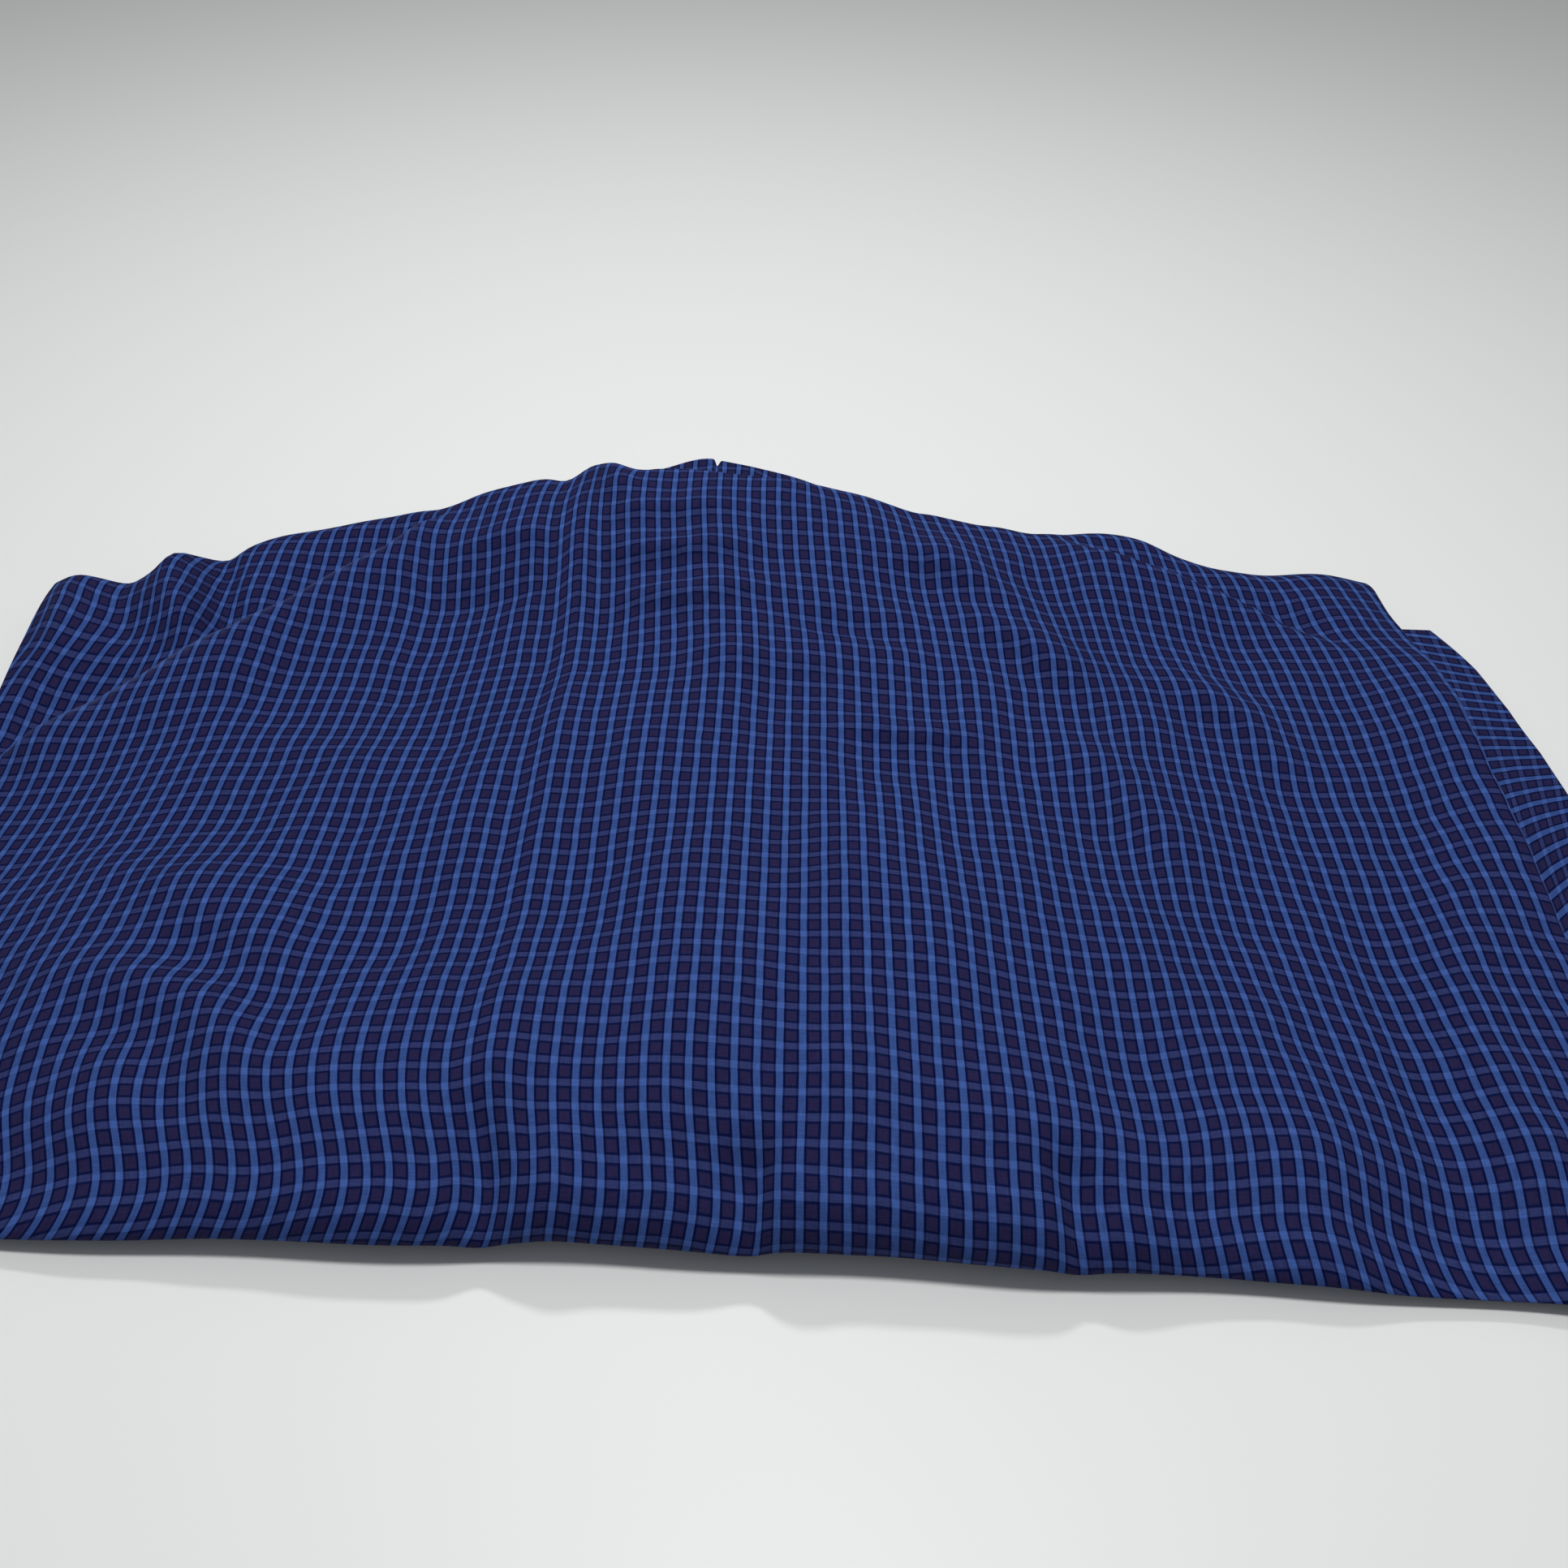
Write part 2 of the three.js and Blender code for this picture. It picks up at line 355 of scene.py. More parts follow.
def clothRepeats(points, startColumn, startRow, startRepeat):
    # repeats counted along the surface itself, so that the check isn't stretched over a fold
    steps = np.linalg.norm(np.diff(points, axis=1), axis=2)
    across = np.concatenate([np.zeros((points.shape[0], 1)), np.cumsum(steps, axis=1)], axis=1)
    across -= across[:, startColumn:startColumn + 1]
    steps = np.linalg.norm(np.diff(points, axis=0), axis=2)
    along = np.concatenate([np.zeros((1, points.shape[1])), np.cumsum(steps, axis=0)], axis=0)
    along -= along[startRow:startRow + 1]
    across = softened(across, acrossPasses, 0)
    along = softened(along, alongPasses, 1)
    repeats = np.stack([across / warpRepeat, -along / weftRepeat], axis=2)
    return repeats + np.array(startRepeat)


# Height of the pile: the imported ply's own upper face, smoothed, with the folds of the cloth added

topLow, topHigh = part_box("top_ply")
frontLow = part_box("front_fold")[0]

pile = {
    "step": 8 * mm,
    "passes": 8,
    "left": topLow.x,
    "right": topHigh.x,
    "rollDepth": 20 * mm,
    "rollUnder": 4.0 * mm,
    "rollLean": 0.14,  # the roll is fuller low down
    "rollSquare": 0.9,
    "frontSag": 8 * mm,  # how far the cloth sinks towards the roll
    "frontSagReach": 52 * mm,
    "scallop": 1.6 * mm,  # along the front edge
    "scallopLengths": (27 * mm, 71 * mm),
    "floor": 5 * mm,  # the lowest the upper plies come
    "floorBlend": 2 * mm,
    "hemHeight": 1.6 * mm,
    "hemDepth": 27 * mm,  # how much of the ply's back edge is left out when it is sampled
    "margin": 30 * mm,
    "inset": 2 * mm,
    "edgePlaces": 29,
    "edgeReach": 16 * mm,
    "edgePasses": 3,
}


def plyEdge(name, pick):
    # the extreme y of a packed ply's points, at even places across it
    points = np.array([v.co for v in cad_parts[name].data.vertices])
    places = np.linspace(points[:, 0].min(), points[:, 0].max(), pile["edgePlaces"])
    near = [abs(points[:, 0] - place) < pile["edgeReach"] for place in places]
    return places, np.array([pick(points[mask, 1]) for mask in near])


def sampleTop():
    # heights on an even grid over the ply; past its edges, the nearest height inside is kept
    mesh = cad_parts["top_ply"].data
    tree = BVHTree.FromPolygons([v.co for v in mesh.vertices], [p.vertices for p in mesh.polygons])
    xs = np.arange(topLow.x - pile["margin"], topHigh.x + pile["margin"], pile["step"])
    ys = np.arange(frontLow.y - pile["margin"], topHigh.y + pile["margin"], pile["step"])
    heights = np.zeros((len(ys), len(xs)))
    for i, x in enumerate(xs):
        inside = min(max(x, topLow.x + pile["inset"]), topHigh.x - pile["inset"])
        hits = [tree.ray_cast(Vector((inside, y, 1)), Vector((0, 0, -1)))[0] for y in ys]
        found = [j for j, hit in enumerate(hits) if hit]
        front, back = found[0] + 1, found[-1] - round(pile["hemDepth"] / pile["step"])
        for j in range(len(ys)):
            heights[j, i] = hits[min(max(j, front), back)].z
    heights = softened(softened(heights, pile["passes"], 0), pile["passes"], 1)
    return xs, ys, heights


pileXs, pileYs, pileHeights = sampleTop()


def baseHeight(x, y):
    # read between the grid's points, and held just inside its last ones
    fx = np.clip((x - pileXs[0]) / pile["step"], 0, len(pileXs) - 1.001)
    fy = np.clip((y - pileYs[0]) / pile["step"], 0, len(pileYs) - 1.001)
    i, j = fx.astype(int), fy.astype(int)
    fx, fy = fx - i, fy - j
    near = mix(pileHeights[j, i], pileHeights[j, i + 1], fx)
    far = mix(pileHeights[j + 1, i], pileHeights[j + 1, i + 1], fx)
    return mix(near, far, fy)


def pathPlace(x, y, path):
    # distance from a path, positive on its left, and the share of the path that is passed
    best = np.full(x.shape, 1e9)
    signed = np.zeros(x.shape)
    share = np.zeros(x.shape)
    lengths = [math.dist(a, b) for a, b in zip(path, path[1:])]
    total, done = sum(lengths), 0
    for (ax, ay), (bx, by), length in zip(path, path[1:], lengths):
        ux, uy = (bx - ax) / length, (by - ay) / length
        px, py = x - ax * mm, y - ay * mm
        run = px * ux + py * uy
        held = np.clip(run, 0, length * mm)
        away = np.hypot(px - held * ux, py - held * uy)
        side = px * -uy + py * ux
        nearer = away < best
        best = np.where(nearer, away, best)
        signed = np.where(nearer, np.where(side < 0, -away, away), signed)
        share = np.where(nearer, (done * mm + held) / (total * mm), share)
        done += length
    return signed, share


# Folds that stand up from the cloth or dip into it, in millimetres. left and right are the widths
# on each side of the path, and ends is the share of it over which each end fades.
# The first is the long crease at the left.
folds = [
    {"path": [(-192, 224), (-262, 162), (-330, 84), (-404, 8)],
     "rise": 9, "left": 40, "right": 4, "ends": 0.12},
    {"path": [(-202, 232), (-272, 170), (-341, 90), (-414, 16)],
     "rise": -5, "left": 7, "right": 14, "ends": 0.12},
    {"path": [(132, 216), (199, 188), (262, 156), (318, 108)],
     "rise": 6, "left": 8, "right": 26, "ends": 0.3},
    {"path": [(140, 228), (206, 200), (272, 166), (328, 120)],
     "rise": -4, "left": 12, "right": 6, "ends": 0.3},
    {"path": [(-354, 186), (-340, 140), (-318, 96)], "rise": 9, "left": 10, "right": 11, "ends": 0.3},
    {"path": [(-330, 196), (-318, 150), (-306, 106)], "rise": -9, "left": 10, "right": 9, "ends": 0.3},
    {"path": [(-380, 172), (-368, 130), (-350, 90)], "rise": -5, "left": 10, "right": 10, "ends": 0.3},
    {"path": [(-404, 164), (-394, 120), (-382, 70)], "rise": 6, "left": 12, "right": 12, "ends": 0.35},
    {"path": [(-112, 268), (-106, 236), (-94, 206)], "rise": 7, "left": 9, "right": 11, "ends": 0.3},
    {"path": [(-120, 172), (-56, 164), (0, 176)], "rise": 6.5, "left": 11, "right": 5.5, "ends": 0.4},
    {"path": [(-112, 138), (-54, 132), (10, 146)], "rise": 6, "left": 11, "right": 5.5, "ends": 0.4},
    {"path": [(-20, 120), (30, 118), (84, 104)], "rise": -4.5, "left": 9, "right": 9, "ends": 0.4},
    {"path": [(8, 48), (60, 38), (112, 32)], "rise": 7, "left": 13, "right": 6.5, "ends": 0.4},
    {"path": [(78, 152), (128, 112), (176, 66)], "rise": 10, "left": 24, "right": 11, "ends": 0.4},
    {"path": [(36, 182), (92, 166), (146, 130)], "rise": 9, "left": 18, "right": 9, "ends": 0.45},
    {"path": [(118, 64), (168, 12), (206, -60)], "rise": 8, "left": 20, "right": 18, "ends": 0.45},
    {"path": [(-318, -92), (-245, -118), (-170, -176)], "rise": -5, "left": 18, "right": 16, "ends": 0.4},
    {"path": [(-322, -138), (-262, -162), (-214, -214)], "rise": -4, "left": 13, "right": 12, "ends": 0.4},
    {"path": [(-300, -116), (-240, -142), (-190, -200)], "rise": 4, "left": 12, "right": 13, "ends": 0.4},
    {"path": [(-352, -44), (-270, -74), (-196, -132)], "rise": 4, "left": 18, "right": 16, "ends": 0.4},
    {"path": [(-352, 12), (-262, -24), (-168, -92)], "rise": -4, "left": 18, "right": 18, "ends": 0.45},
    {"path": [(-318, 64), (-226, 24), (-150, -36)], "rise": 5, "left": 20, "right": 22, "ends": 0.45},
    {"path": [(-262, 118), (-196, 66), (-136, 0)], "rise": -3, "left": 16, "right": 16, "ends": 0.45},
    {"path": [(-106, -268), (-108, -228), (-122, -182)], "rise": -8, "left": 9, "right": 8, "ends": 0.3},
    {"path": [(-86, -268), (-84, -226), (-80, -190)], "rise": 4, "left": 9, "right": 12, "ends": 0.35},
    {"path": [(120, -270), (118, -238), (106, -200)], "rise": -8, "left": 8, "right": 10, "ends": 0.3},
    {"path": [(-14, -268), (-11, -236), (-2, -206)], "rise": -9, "left": 14, "right": 6, "ends": 0.3},
    {"path": [(6, -262), (8, -232), (16, -204)], "rise": 3, "left": 9, "right": 12, "ends": 0.35},
    {"path": [(-70, 96), (-10, 84), (56, 90)], "rise": 4, "left": 13, "right": 7, "ends": 0.4},
    {"path": [(190, 120), (240, 70), (268, 10)], "rise": 8, "left": 16, "right": 11, "ends": 0.4},
    {"path": [(-206, 176), (-160, 190), (-118, 186)], "rise": 4, "left": 12, "right": 6, "ends": 0.4},
    {"path": [(-214, 146), (-168, 150), (-124, 158)], "rise": -4, "left": 10, "right": 8, "ends": 0.4},
    {"path": [(-128, 196), (-70, 196), (-10, 200)], "rise": 3.5, "left": 8, "right": 5, "ends": 0.4},
    {"path": [(-44, -230), (-40, -120), (-46, -20)], "rise": 2, "left": 24, "right": 24, "ends": 0.45},
    {"path": [(208, -268), (206, -204), (232, -130)], "rise": 4, "left": 22, "right": 22, "ends": 0.4},
    {"path": [(296, -262), (302, -120), (322, 20)], "rise": 5, "left": 14, "right": 16, "ends": 0.35},
    {"path": [(262, -250), (266, -140), (280, -20)], "rise": -4, "left": 14, "right": 14, "ends": 0.4},
    {"path": [(346, 150), (354, 40), (360, -90)], "rise": 7, "left": 10, "right": 22, "ends": 0.35},
]

# Broad swells and hollows, in millimetres
swells = [
    {"place": (-190, 135), "reach": (110, 60), "rise": -10},
    {"place": (-350, -5), "reach": (75, 60), "rise": -11},
    {"place": (-275, 70), "reach": (75, 50), "rise": -7},
    {"place": (-10, 215), "reach": (90, 30), "rise": 9},
    {"place": (70, 182), "reach": (60, 25), "rise": 7},
    {"place": (20, 50), "reach": (85, 50), "rise": -7},
    {"place": (255, -25), "reach": (90, 100), "rise": -9},
    {"place": (250, 140), "reach": (60, 32), "rise": -7},
    {"place": (60, -155), "reach": (75, 80), "rise": 6},
    {"place": (120, -225), "reach": (70, 40), "rise": 5},
    {"place": (285, -160), "reach": (40, 70), "rise": -7},
    {"place": (-282, -130), "reach": (40, 50), "rise": 6},
    {"place": (-150, -100), "reach": (65, 45), "rise": -11},
    {"place": (-300, -170), "reach": (45, 50), "rise": -7},
    {"place": (-400, 110), "reach": (28, 60), "rise": 7},
    {"place": (-60, 40), "reach": (70, 60), "rise": 8},
    {"place": (-130, 0), "reach": (45, 50), "rise": 5},
    {"place": (310, -20), "reach": (26, 60), "rise": -7},
    {"place": (-170, -205), "reach": (300, 22), "rise": 4},
    {"place": (200, -210), "reach": (130, 24), "rise": 5},
]

# Shallow waves that run through the whole cloth: length and rise in metres, turn and phase in radians
ripples = [
    {"length": 0.088, "turn": 0.42, "rise": 0.9 * mm, "phase": 0.4},
    {"length": 0.061, "turn": -0.55, "rise": 0.55 * mm, "phase": 1.9},
    {"length": 0.137, "turn": 1.1, "rise": 1.1 * mm, "phase": 2.7},
    {"length": 0.043, "turn": 0.1, "rise": 0.3 * mm, "phase": 5.1},
    {"length": 0.034, "turn": 1.3, "rise": 0.28 * mm, "phase": 0.9},
    {"length": 0.027, "turn": -0.9, "rise": 0.16 * mm, "phase": 3.6},
]


def foldRise(x, y, fold):
    signed, share = pathPlace(x, y, fold["path"])
    width = np.where(signed > 0, fold["left"], fold["right"]) * mm
    taper = smooth(0, fold["ends"], share) * smooth(0, fold["ends"], 1 - share)
    return fold["rise"] * mm * taper * np.exp(-(signed / width) ** 2)


def pileTop(x, y):
    height = baseHeight(x, y)
    for swell in swells:
        dx = (x / mm - swell["place"][0]) / swell["reach"][0]
        dy = (y / mm - swell["place"][1]) / swell["reach"][1]
        height = height + swell["rise"] * mm * np.exp(-dx ** 2 - dy ** 2)
    behindRoll = y - frontLine(x) - pile["rollDepth"]
    height = height - pile["frontSag"] * (1 - smooth(0, pile["frontSagReach"], behindRoll))
    for fold in folds:
        height = height + foldRise(x, y, fold)
    for ripple in ripples:
        run = x * math.cos(ripple["turn"]) + y * math.sin(ripple["turn"])
        height = height + ripple["rise"] * np.sin(2 * math.pi * run / ripple["length"] + ripple["phase"])
    # kept above the plies below
    floor, blend = pile["floor"], pile["floorBlend"]
    return floor + np.logaddexp(0, (height - floor) / blend) * blend


# Plan of the top ply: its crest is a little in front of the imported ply's hem
crest = {
    "setback": 26 * mm,
    "tuckedSetback": 4 * mm,  # where the hem tucks down in front of the inner ply
    "tuckLeft": (-0.130, -0.112),
    "tuckRight": (0.090, 0.130),
}

# Where the crest bows back or forward, in millimetres
crestBows = [
    {"at": -404, "reach": 9, "move": 6},
    {"at": -358, "reach": 26, "move": -7},
    {"at": -296, "reach": 26, "move": 9},
    {"at": -220, "reach": 80, "move": 14},
    {"at": -200, "reach": 15, "move": -7},
    {"at": -146, "reach": 18, "move": 9},
    {"at": -114, "reach": 12, "move": 10},
    {"at": 0, "reach": 28, "move": -8},
    {"at": 60, "reach": 42, "move": -6},
    {"at": 104, "reach": 20, "move": -12},
    {"at": 150, "reach": 20, "move": -6},
    {"at": 205, "reach": 40, "move": 12},
    {"at": 270, "reach": 45, "move": -15},
]

hemPlaces, hems = plyEdge("top_ply", np.max)
frontPlaces, frontEdges = plyEdge("front_fold", np.min)


def crestLine(x):
    tucked = smooth(*crest["tuckLeft"], x) * (1 - smooth(*crest["tuckRight"], x))
    line = np.interp(x, hemPlaces, hems) - mix(crest["setback"], crest["tuckedSetback"], tucked)
    for bow in crestBows:
        line = line + bow["move"] * mm * np.exp(-((x / mm - bow["at"]) / bow["reach"]) ** 2)
    return line


def frontLine(x):
    shorter, longer = pile["scallopLengths"]
    scallop = pile["scallop"] * np.sin(x / shorter + 1) * np.sin(x / longer)
    return np.interp(x, frontPlaces, frontEdges) + scallop


topSheet = {
    "columns": 226,
    "wrapColumns": 8,
    "returnColumns": 4,
    "wrapRadius": 2.6 * mm,
    "returnReach": 24 * mm,
    "rollRows": 26,
    "levelRows": 150,
    "fallRows": 14,
    "fallDepth": 18 * mm,
    "tuckDrop": 3 * mm,
    "tuckDepth": 4 * mm,
    "lowest": 1.2 * mm,
    "peekCentre": -0.030,  # where the inner ply shows behind
    "peekHalfWidth": 0.052,
    "peekBlend": (-8 * mm, 6 * mm),
    "zeroX": 2 * mm,
    "zeroY": -9 * mm,
    "zeroRepeat": (0.0, -10.0),
    "cornerTaper": 17 * mm,  # the right edge comes in at the back corner
    "taperFrom": (70 * mm, 215 * mm),
    # how strongly the painted highlight lightens the folded right edge and the crest of the long left crease
    "sideHighlight": 0.5,
    "creaseHighlight": 0.45,
    "creaseShift": 1.5 * mm,
    "creaseWidth": 2.6 * mm,
    "creaseEnds": 0.2,
}

drags = [
    {"place": (290, 0), "reach": (130, 200), "move": (0.9, 1.3)},
    {"place": (-150, 50), "reach": (110, 180), "move": (-0.2, -1.8)},
    {"place": (-400, -30), "reach": (50, 100), "move": (-1.0, 0.3)},
    {"place": (-385, 150), "reach": (70, 60), "move": (1.4, 1.8)},
    {"place": (352, 60), "reach": (36, 130), "move": (0.0, 1.6)},
    {"place": (-240, -250), "reach": (150, 60), "move": (-1.4, 0.0)},
]


def tapered(x, y):
    # the ply narrows from the right towards its back corner
    right = topHigh.x - topSheet["cornerTaper"] * smooth(*topSheet["taperFrom"], y)
    return topLow.x + (x - topLow.x) * (right - topLow.x) / (topHigh.x - topLow.x)


def topColumns():
    # x, and how far below the surface each column lies, round the folded right edge and back under
    plain = np.linspace(pile["left"], pile["right"] - topSheet["wrapRadius"], topSheet["columns"])
    angle = np.linspace(0, math.pi, topSheet["wrapColumns"] + 1)[1:]
    wrap = plain[-1] + topSheet["wrapRadius"] * np.sin(angle)
    inward = topSheet["wrapRadius"] * (1 - np.cos(angle))
    back = plain[-1] - np.linspace(0, topSheet["returnReach"], topSheet["returnColumns"] + 1)[1:]
    xs = np.concatenate([plain, wrap, back])
    depths = np.concatenate([np.zeros(len(plain)), inward, np.full(len(back), inward[-1])])
    return xs, depths


def buildTopSheet():
    xs, depths = topColumns()
    edge = softened(crestLine(xs), pile["edgePasses"], 0)
    rollBack = frontLine(xs) + pile["rollDepth"]
    rows = []
    # the roll, from its under side round to the top
    half = (pileTop(xs, rollBack) - pile["rollUnder"]) / 2
    for angle in np.linspace(math.pi, 0, topSheet["rollRows"], endpoint=False):
        lean = 1 - pile["rollLean"] * math.cos(angle)
        y = rollBack - pile["rollDepth"] * abs(math.sin(angle)) ** pile["rollSquare"] * lean
        z = pile["rollUnder"] + half * (1 + math.cos(angle))
        rows.append(np.stack([xs, y, z], axis=1))
    for share in np.linspace(0, 1, topSheet["levelRows"]):
        y = mix(rollBack, edge, share)
        rows.append(np.stack([xs, y, pileTop(tapered(xs, y), y)], axis=1))
    # behind the crest the cloth falls to its hem, or tucks down where the inner ply shows behind it
    crestHeight = pileTop(tapered(xs, edge), edge)
    inner, outer = (topSheet["peekHalfWidth"] + blend for blend in topSheet["peekBlend"])
    peek = 1 - smooth(inner, outer, abs(xs - topSheet["peekCentre"]))
    drop = mix(crestHeight - pile["hemHeight"], topSheet["tuckDrop"], peek)
    depth = mix(topSheet["fallDepth"], topSheet["tuckDepth"], peek)
    for angle in np.linspace(0, math.pi / 2, topSheet["fallRows"] + 1)[1:]:
        y = edge + depth * math.sin(angle)
        z = crestHeight - drop * (1 - math.cos(angle))
        rows.append(np.stack([xs, y, z], axis=1))
    points = np.stack(rows)
    # the wrapped columns are moved in, square to the surface
    run = np.gradient(points[:, :, 1:], axis=0)
    run /= np.maximum(np.linalg.norm(run, axis=2, keepdims=True), 1e-9)
    points[:, :, 1] += run[:, :, 1] * depths
    points[:, :, 2] -= run[:, :, 0] * depths
    points[:, :, 2] = np.maximum(points[:, :, 2], topSheet["lowest"])
    untapered = points.copy()
    points[:, :, 0] = tapered(points[:, :, 0], points[:, :, 1])
    startColumn = int(np.argmin(abs(xs[:topSheet["columns"]] - topSheet["zeroX"])))
    startRow = int(np.argmin(abs(points[:, startColumn, 1] - topSheet["zeroY"])))
    repeats = clothRepeats(untapered, startColumn, startRow, topSheet["zeroRepeat"])
    for drag in drags:
        dx = (points[:, :, 0] / mm - drag["place"][0]) / drag["reach"][0]
        dy = (points[:, :, 1] / mm - drag["place"][1]) / drag["reach"][1]
        repeats += np.exp(-dx ** 2 - dy ** 2)[:, :, None] * np.array(drag["move"])
    # painted highlight along the folded right edge and along the crest of the long left crease
    paintedHighlight = np.zeros(points.shape[:2])
    side = topSheet["columns"] + topSheet["wrapColumns"] // 4
    paintedHighlight[:, side - 1:side + 2] = topSheet["sideHighlight"]
    crease, share = pathPlace(points[:, :, 0], points[:, :, 1], folds[0]["path"])
    highlight = np.exp(-((crease + topSheet["creaseShift"]) / topSheet["creaseWidth"]) ** 2)
    ends = smooth(0, topSheet["creaseEnds"], share) * smooth(0, topSheet["creaseEnds"], 1 - share)
    paintedHighlight += topSheet["creaseHighlight"] * highlight * ends
    piece = laySheet("topSheet", points, repeats, checkFinish, np.clip(paintedHighlight, 0, 1))
    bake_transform(piece)
    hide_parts("top_ply", "front_fold")
    return piece, points


topPiece, topPoints = buildTopSheet()
print("top sheet laid")


# The ply over the bunched folds, which shows behind the top ply's hem

innerSheet = {
    "front": -0.205,
    "drop": 4.2 * mm,
    "columns": 150,
    "levelRows": 92,
    "fallRows": 14,
    "narrowFrom": (0.62, 0.93),  # shares of its length
    "peekMargin": 4 * mm,
    "peekReach": 6 * mm,
    "fallDepth": 10.4 * mm,
    "fallWave": 1 * mm,
    "fallWaveLength": 6 * mm,
    "peak": 15 * mm,  # how far the shown corner stands out behind
    "peakX": -48 * mm,
    "peakLeft": -84 * mm,
    "peakRight": 22 * mm,
    "slit": 7 * mm,
    "slitX": -45 * mm,
    "slitWidth": 1.3 * mm,
    "zeroRepeat": (0.3, 12.4),
}


def innerEnd(x):
    # how far back the level cloth runs: one corner stands out behind the hem, with a slit in it
    peakX = innerSheet["peakX"]
    rising = smooth(innerSheet["peakLeft"], peakX, x)
    falling = 1 - np.clip((x - peakX) / (innerSheet["peakRight"] - peakX), 0, 1)
    slit = innerSheet["slit"] * np.exp(-((x - innerSheet["slitX"]) / innerSheet["slitWidth"]) ** 2)
    edge = softened(crestLine(x), pile["edgePasses"], 0)
    return edge + innerSheet["peekReach"] + innerSheet["peak"] * rising * falling - slit


def buildInnerSheet():
    low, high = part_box("inner_ply")
    s = np.linspace(0, 1, innerSheet["columns"])
    rows = []
    peekHalf = topSheet["peekHalfWidth"] + innerSheet["peekMargin"]
    peekLeft, peekRight = topSheet["peekCentre"] - peekHalf, topSheet["peekCentre"] + peekHalf
    for share in np.linspace(0, 1, innerSheet["levelRows"]):
        narrowed = float(smooth(*innerSheet["narrowFrom"], share))
        x = mix(mix(low.x, peekLeft, narrowed), mix(high.x, peekRight, narrowed), s)
        y = mix(innerSheet["front"], innerEnd(x), share)
        level = pileTop(x, np.minimum(y, crestLine(x))) - innerSheet["drop"]
        rows.append(np.stack([x, y, level], axis=1))
    x, y, level = rows[-1].T
    reach = innerSheet["fallDepth"] + innerSheet["fallWave"] * np.sin(x / innerSheet["fallWaveLength"])
    for angle in np.linspace(0, math.pi / 2, innerSheet["fallRows"] + 1)[1:]:
        z = level - (level - pile["hemHeight"]) * (1 - math.cos(angle))
        rows.append(np.stack([x, y + reach * math.sin(angle), z], axis=1))
    points = np.stack(rows)
    repeats = clothRepeats(points, len(s) // 2, 0, innerSheet["zeroRepeat"])
    piece = laySheet("innerSheet", points, repeats, shadedInnerFinish)
    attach(piece, "lower_plies")
    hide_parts("inner_ply")
    return piece, points


innerPiece, innerPoints = buildInnerSheet()
print("inner sheet laid")


# Lower plies: one sheet folded at the back

lowerSheet = {
    "columns": 80,
    "rows": 60,
    "foldRows": 12,
    "frontGap": 1.5 * mm,  # between the roll and its front edge
    "underStep": 3 * mm,  # how far back the under edge is from the upper one
    "sink": 0.2 * mm,
    "wave": 0.35 * mm,
    "waveLength": 31 * mm,
    "waveDrift": 5,
    "foldWave": 0.15,
    "foldWaveLength": 40 * mm,
    "zeroRepeat": (0.1, 15.2),
}


def buildLowerSheet():
    bottomLow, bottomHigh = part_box("bottom_ply")
    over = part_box("middle_ply")[1].z
    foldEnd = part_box("back_fold")[1].y
    xs = np.linspace(bottomLow.x, bottomHigh.x, lowerSheet["columns"])
    front = frontLine(xs) + pile["rollDepth"] + lowerSheet["frontGap"]
    under = bottomHigh.z - lowerSheet["sink"]
    turnY = bottomHigh.y
    half = (over - under) / 2
    rows = []
    for share in np.linspace(0, 1, lowerSheet["rows"]):
        wave = np.sin(xs / lowerSheet["waveLength"] + lowerSheet["waveDrift"] * share)
        z = over + lowerSheet["wave"] * wave * math.sin(math.pi * share)
        rows.append(np.stack([xs, mix(front, turnY, share), z], axis=1))
    bulge = (foldEnd - turnY) * (1 + lowerSheet["foldWave"] * np.sin(xs / lowerSheet["foldWaveLength"]))
    for angle in np.linspace(0, math.pi, lowerSheet["foldRows"] + 1)[1:]:
        z = np.full(len(xs), over - half * (1 - math.cos(angle)))
        rows.append(np.stack([xs, turnY + bulge * math.sin(angle), z], axis=1))
    for share in np.linspace(0, 1, lowerSheet["rows"])[1:]:
        y = mix(turnY, front + lowerSheet["underStep"], share)
        rows.append(np.stack([xs, y, np.full(len(xs), under)], axis=1))
    points = np.stack(rows)
    repeats = clothRepeats(points, len(xs) // 2, 0, lowerSheet["zeroRepeat"])
    piece = laySheet("lowerSheet", points, repeats, shadedInnerFinish)
    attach(piece, "lower_plies")
    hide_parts("bottom_ply", "middle_ply", "back_fold")
    return piece, points


lowerPiece, lowerPoints = buildLowerSheet()
print("lower sheet laid")


# Plies at the right whose grain is turned

turnedPlies = {
    "rows": 90,
    "columns": 34,
    "edgeColumns": 8,
    "edgeRadius": 2.4 * mm,
    "edgeWave": 1.2 * mm,
    "edgeWaveLength": 19 * mm,
    "inner": 0.326,
    "riseFrom": (0.1, 1.0),  # shares of its width, where the rise fades
    "backFade": (4 * mm, -30 * mm),
    "fanLength": 0.24,
    "backSlope": 0.12,
    "frontSlope": 1.15,
    "slopeSqueeze": 0.6,
    "bend": 3.2,
    "pullIn": 11 * mm,
    "pullFrom": (0.02, 0.15),
}
turnedSheet = {"rise": 5.2 * mm, "base": 2.2 * mm, "shift": 0.3}
steppedSheet = {"rise": 0.0, "base": 0.7 * mm, "shift": 0.6}


def outerEdge(node, ys):
    # the outer edge of a packed ply, waved a little and pulled in towards the front
    mesh = np.array([v.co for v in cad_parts[node].data.vertices])
    levels = np.round(mesh[:, 1], 4)
    places = np.unique(levels)
    outers = np.array([mesh[levels == place, 0].max() for place in places])
    outer = np.interp(ys, places, outers)
    outer += turnedPlies["edgeWave"] * np.sin(ys / turnedPlies["edgeWaveLength"])
    return outer - turnedPlies["pullIn"] * (1 - smooth(*turnedPlies["pullFrom"], ys))


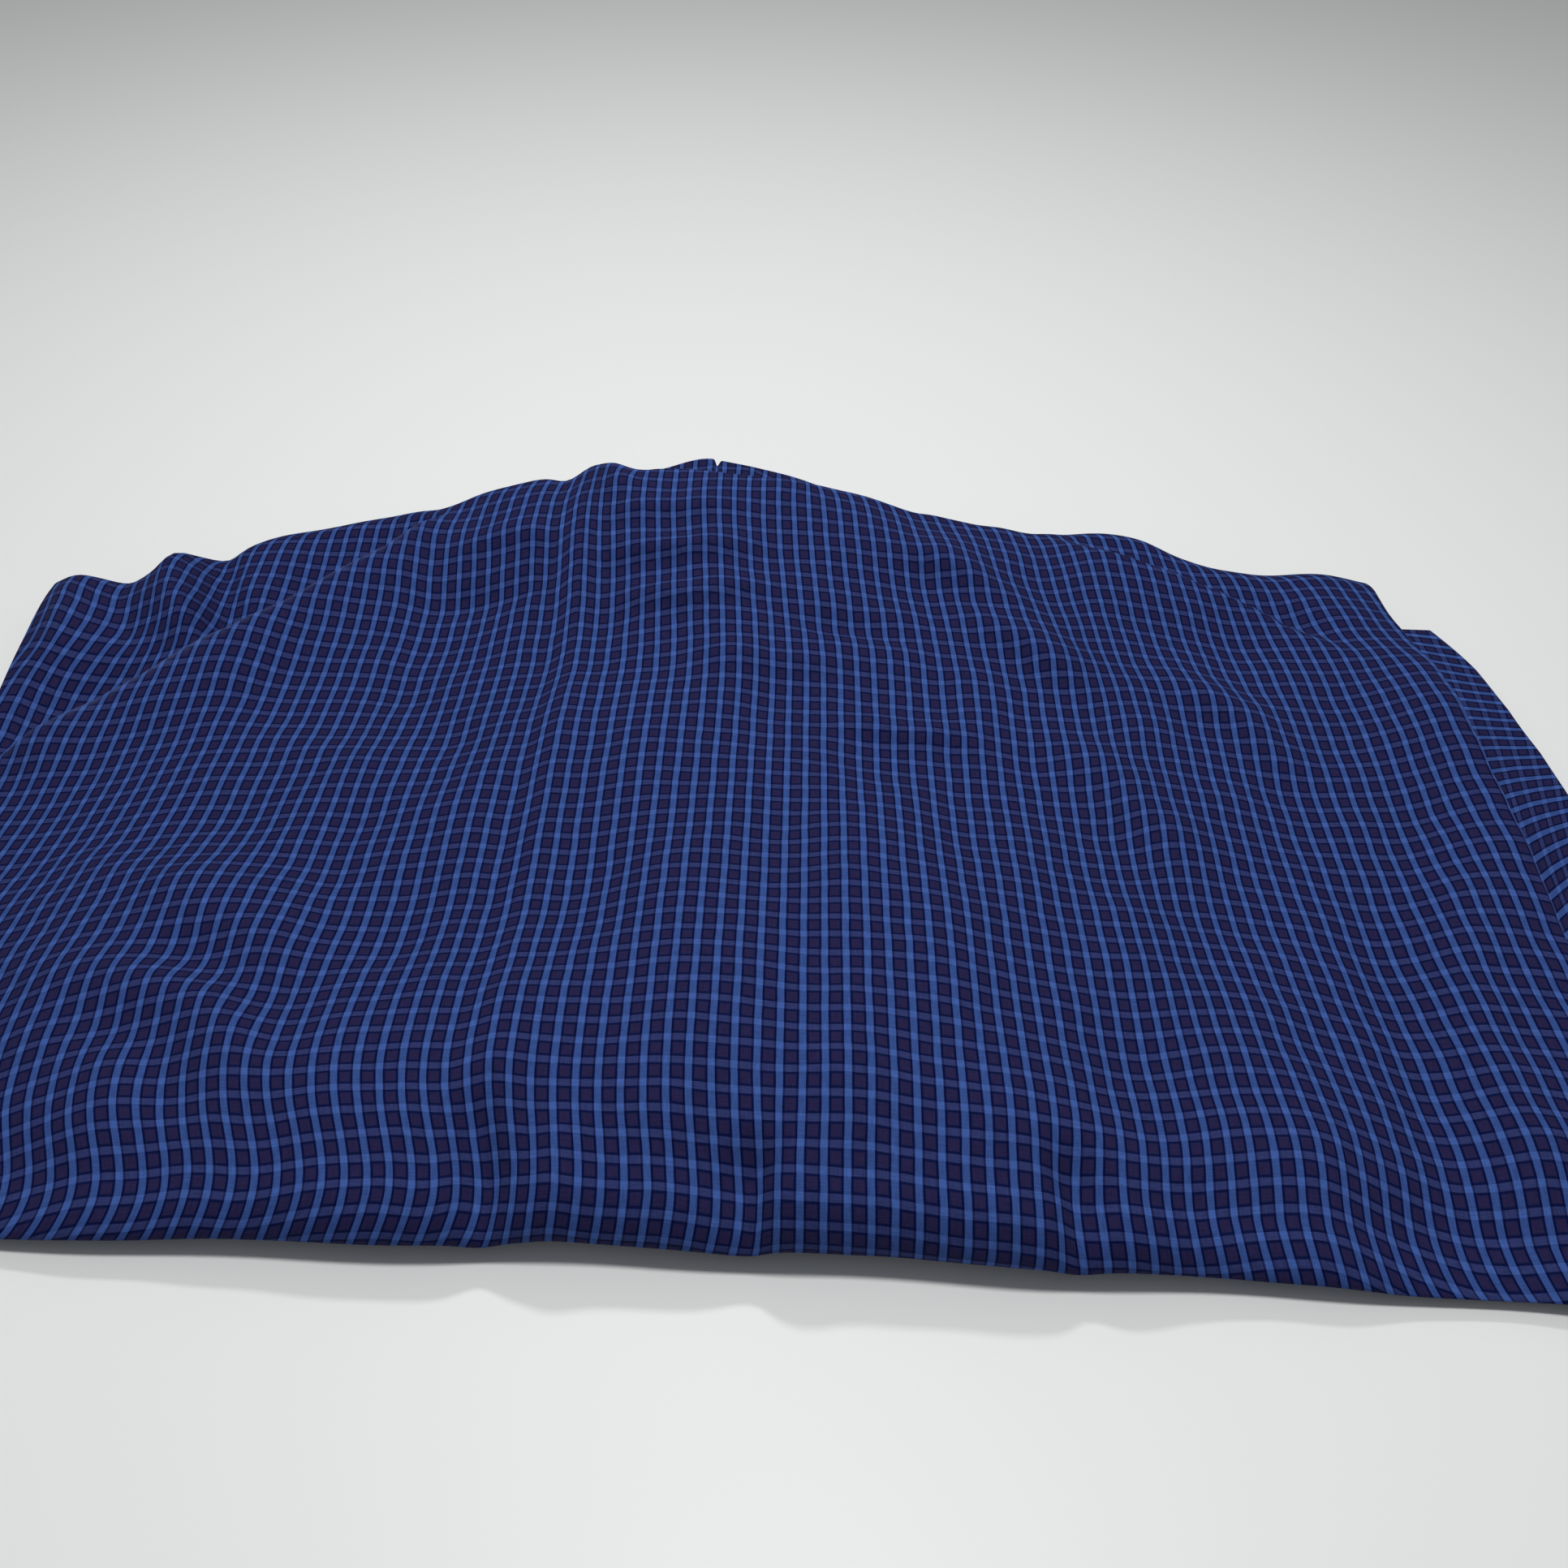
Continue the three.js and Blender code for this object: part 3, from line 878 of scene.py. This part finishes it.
def turnedRepeats(points, level, back, shift):
    # the grain is turned: its bands run out to the right, level at the back and rising further forward
    y = points[:, :, 1]
    fallen = np.maximum(0, points[:, level - 1:level, 2] - points[:, :, 2])
    wrapRun = fallen * (np.arange(points.shape[1]) >= level)
    run = points[:, :, 0] - turnedPlies["inner"] + wrapRun
    along = (back - y) / turnedPlies["fanLength"]
    slope = mix(turnedPlies["backSlope"], turnedPlies["frontSlope"], smooth(0, 1, along))
    start = y - slope * run + turnedPlies["bend"] * run ** 2
    squeeze = 1 / np.sqrt(1 + (turnedPlies["slopeSqueeze"] * slope) ** 2)
    across = (back - start) * squeeze / warpRepeat + shift
    return np.stack([across, run * np.sqrt(1 + slope ** 2) / weftRepeat], axis=2)


def buildTurnedSheet(name, node, finish, own):
    low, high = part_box(node)
    ys = np.linspace(low.y, high.y, turnedPlies["rows"])
    radius, edge, innerX = turnedPlies["edgeRadius"], turnedPlies["edgeColumns"], turnedPlies["inner"]
    level = turnedPlies["columns"] - edge
    angle = np.linspace(0, math.pi, edge + 1)[1:]
    fadeStart, fadeEnd = (high.y + fade for fade in turnedPlies["backFade"])
    points = np.zeros((len(ys), turnedPlies["columns"], 3))
    for j, (y, outer) in enumerate(zip(ys, outerEdge(node, ys))):
        turn = outer - radius
        x = np.linspace(innerX, turn, level)
        share = (x - innerX) / (turn - innerX)
        rise = own["rise"] * (1 - smooth(*turnedPlies["riseFrom"], share)) * smooth(fadeStart, fadeEnd, y)
        z = own["base"] + 2 * radius + rise
        points[j, :level] = np.stack([x, np.full(level, y), z], axis=1)
        wrapX = turn + radius * np.sin(angle)
        wrapZ = own["base"] + radius * (1 + np.cos(angle))
        points[j, level:] = np.stack([wrapX, np.full(edge, y), wrapZ], axis=1)
    repeats = turnedRepeats(points, level, high.y, own["shift"])
    piece = laySheet(name, points, repeats, finish)
    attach(piece, "lower_plies")
    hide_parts(node)
    return piece, points


turnedPiece, turnedPoints = buildTurnedSheet("turnedSheet", "right_turned_ply", checkFinish, turnedSheet)
steppedPiece, steppedPoints = buildTurnedSheet("steppedSheet", "right_stepped_ply", shadedInnerFinish, steppedSheet)
print("turned sheets laid")


# Bunched cloth under the inner ply and along the edges

bunches = {
    "columns": 26,
    "rows": 90,
    "foldDrop": 9.5 * mm,
    "edgeDrop": 6.5 * mm,
    "least": 1 * mm,
    "sway": 2.5 * mm,
    "swayTurns": 9,
    "sideRoundness": 0.5,
    "endSquareness": 8,
    "pleat": 0.35,
    "pleatDrift": 1.2,
    "pleatTurns": 7,
    "zeroWeft": 10,
    "phaseStep": 0.7,
    "edgePhases": {"left_front_bunch": 0.4, "right_edge_bunch": 1.7},
}


def buildBunch(node, drop, phase):
    low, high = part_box(node)
    s = np.linspace(0, 1, bunches["columns"])
    t = np.linspace(0, 1, bunches["rows"])
    across, along = np.meshgrid(s, t)
    sway = bunches["sway"] * np.sin(along * bunches["swayTurns"] + phase)
    x = mix(low.x, high.x, across) + sway * np.sin(math.pi * across)
    y = mix(low.y, high.y, along)
    base = low.z + clothThickness
    ends = 1 - abs(2 * along - 1) ** bunches["endSquareness"]
    dome = np.sin(math.pi * across) ** bunches["sideRoundness"] * ends
    drift = bunches["pleatDrift"] * np.sin(along * bunches["pleatTurns"] + phase)
    pleats = 1 - bunches["pleat"] * (0.5 + 0.5 * np.cos(4 * math.pi * across + drift))
    z = base + np.maximum(pileTop(x, y) - drop - base, bunches["least"]) * dome * pleats
    points = np.stack([x, y, z], axis=2)
    repeats = clothRepeats(points, len(s) // 2, 0, (phase, bunches["zeroWeft"] + phase))
    piece = laySheet(node.replace("_", "") + "Sheet", points, repeats, shadedInnerFinish)
    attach(piece, "lower_plies")
    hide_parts(node)
    return piece, points


for number in range(4):
    node = f"bunched_fold_{number + 1}"
    buildBunch(node, bunches["foldDrop"], bunches["phaseStep"] * number)
for node, phase in bunches["edgePhases"].items():
    buildBunch(node, bunches["edgeDrop"], phase)
print("bunched cloth laid")
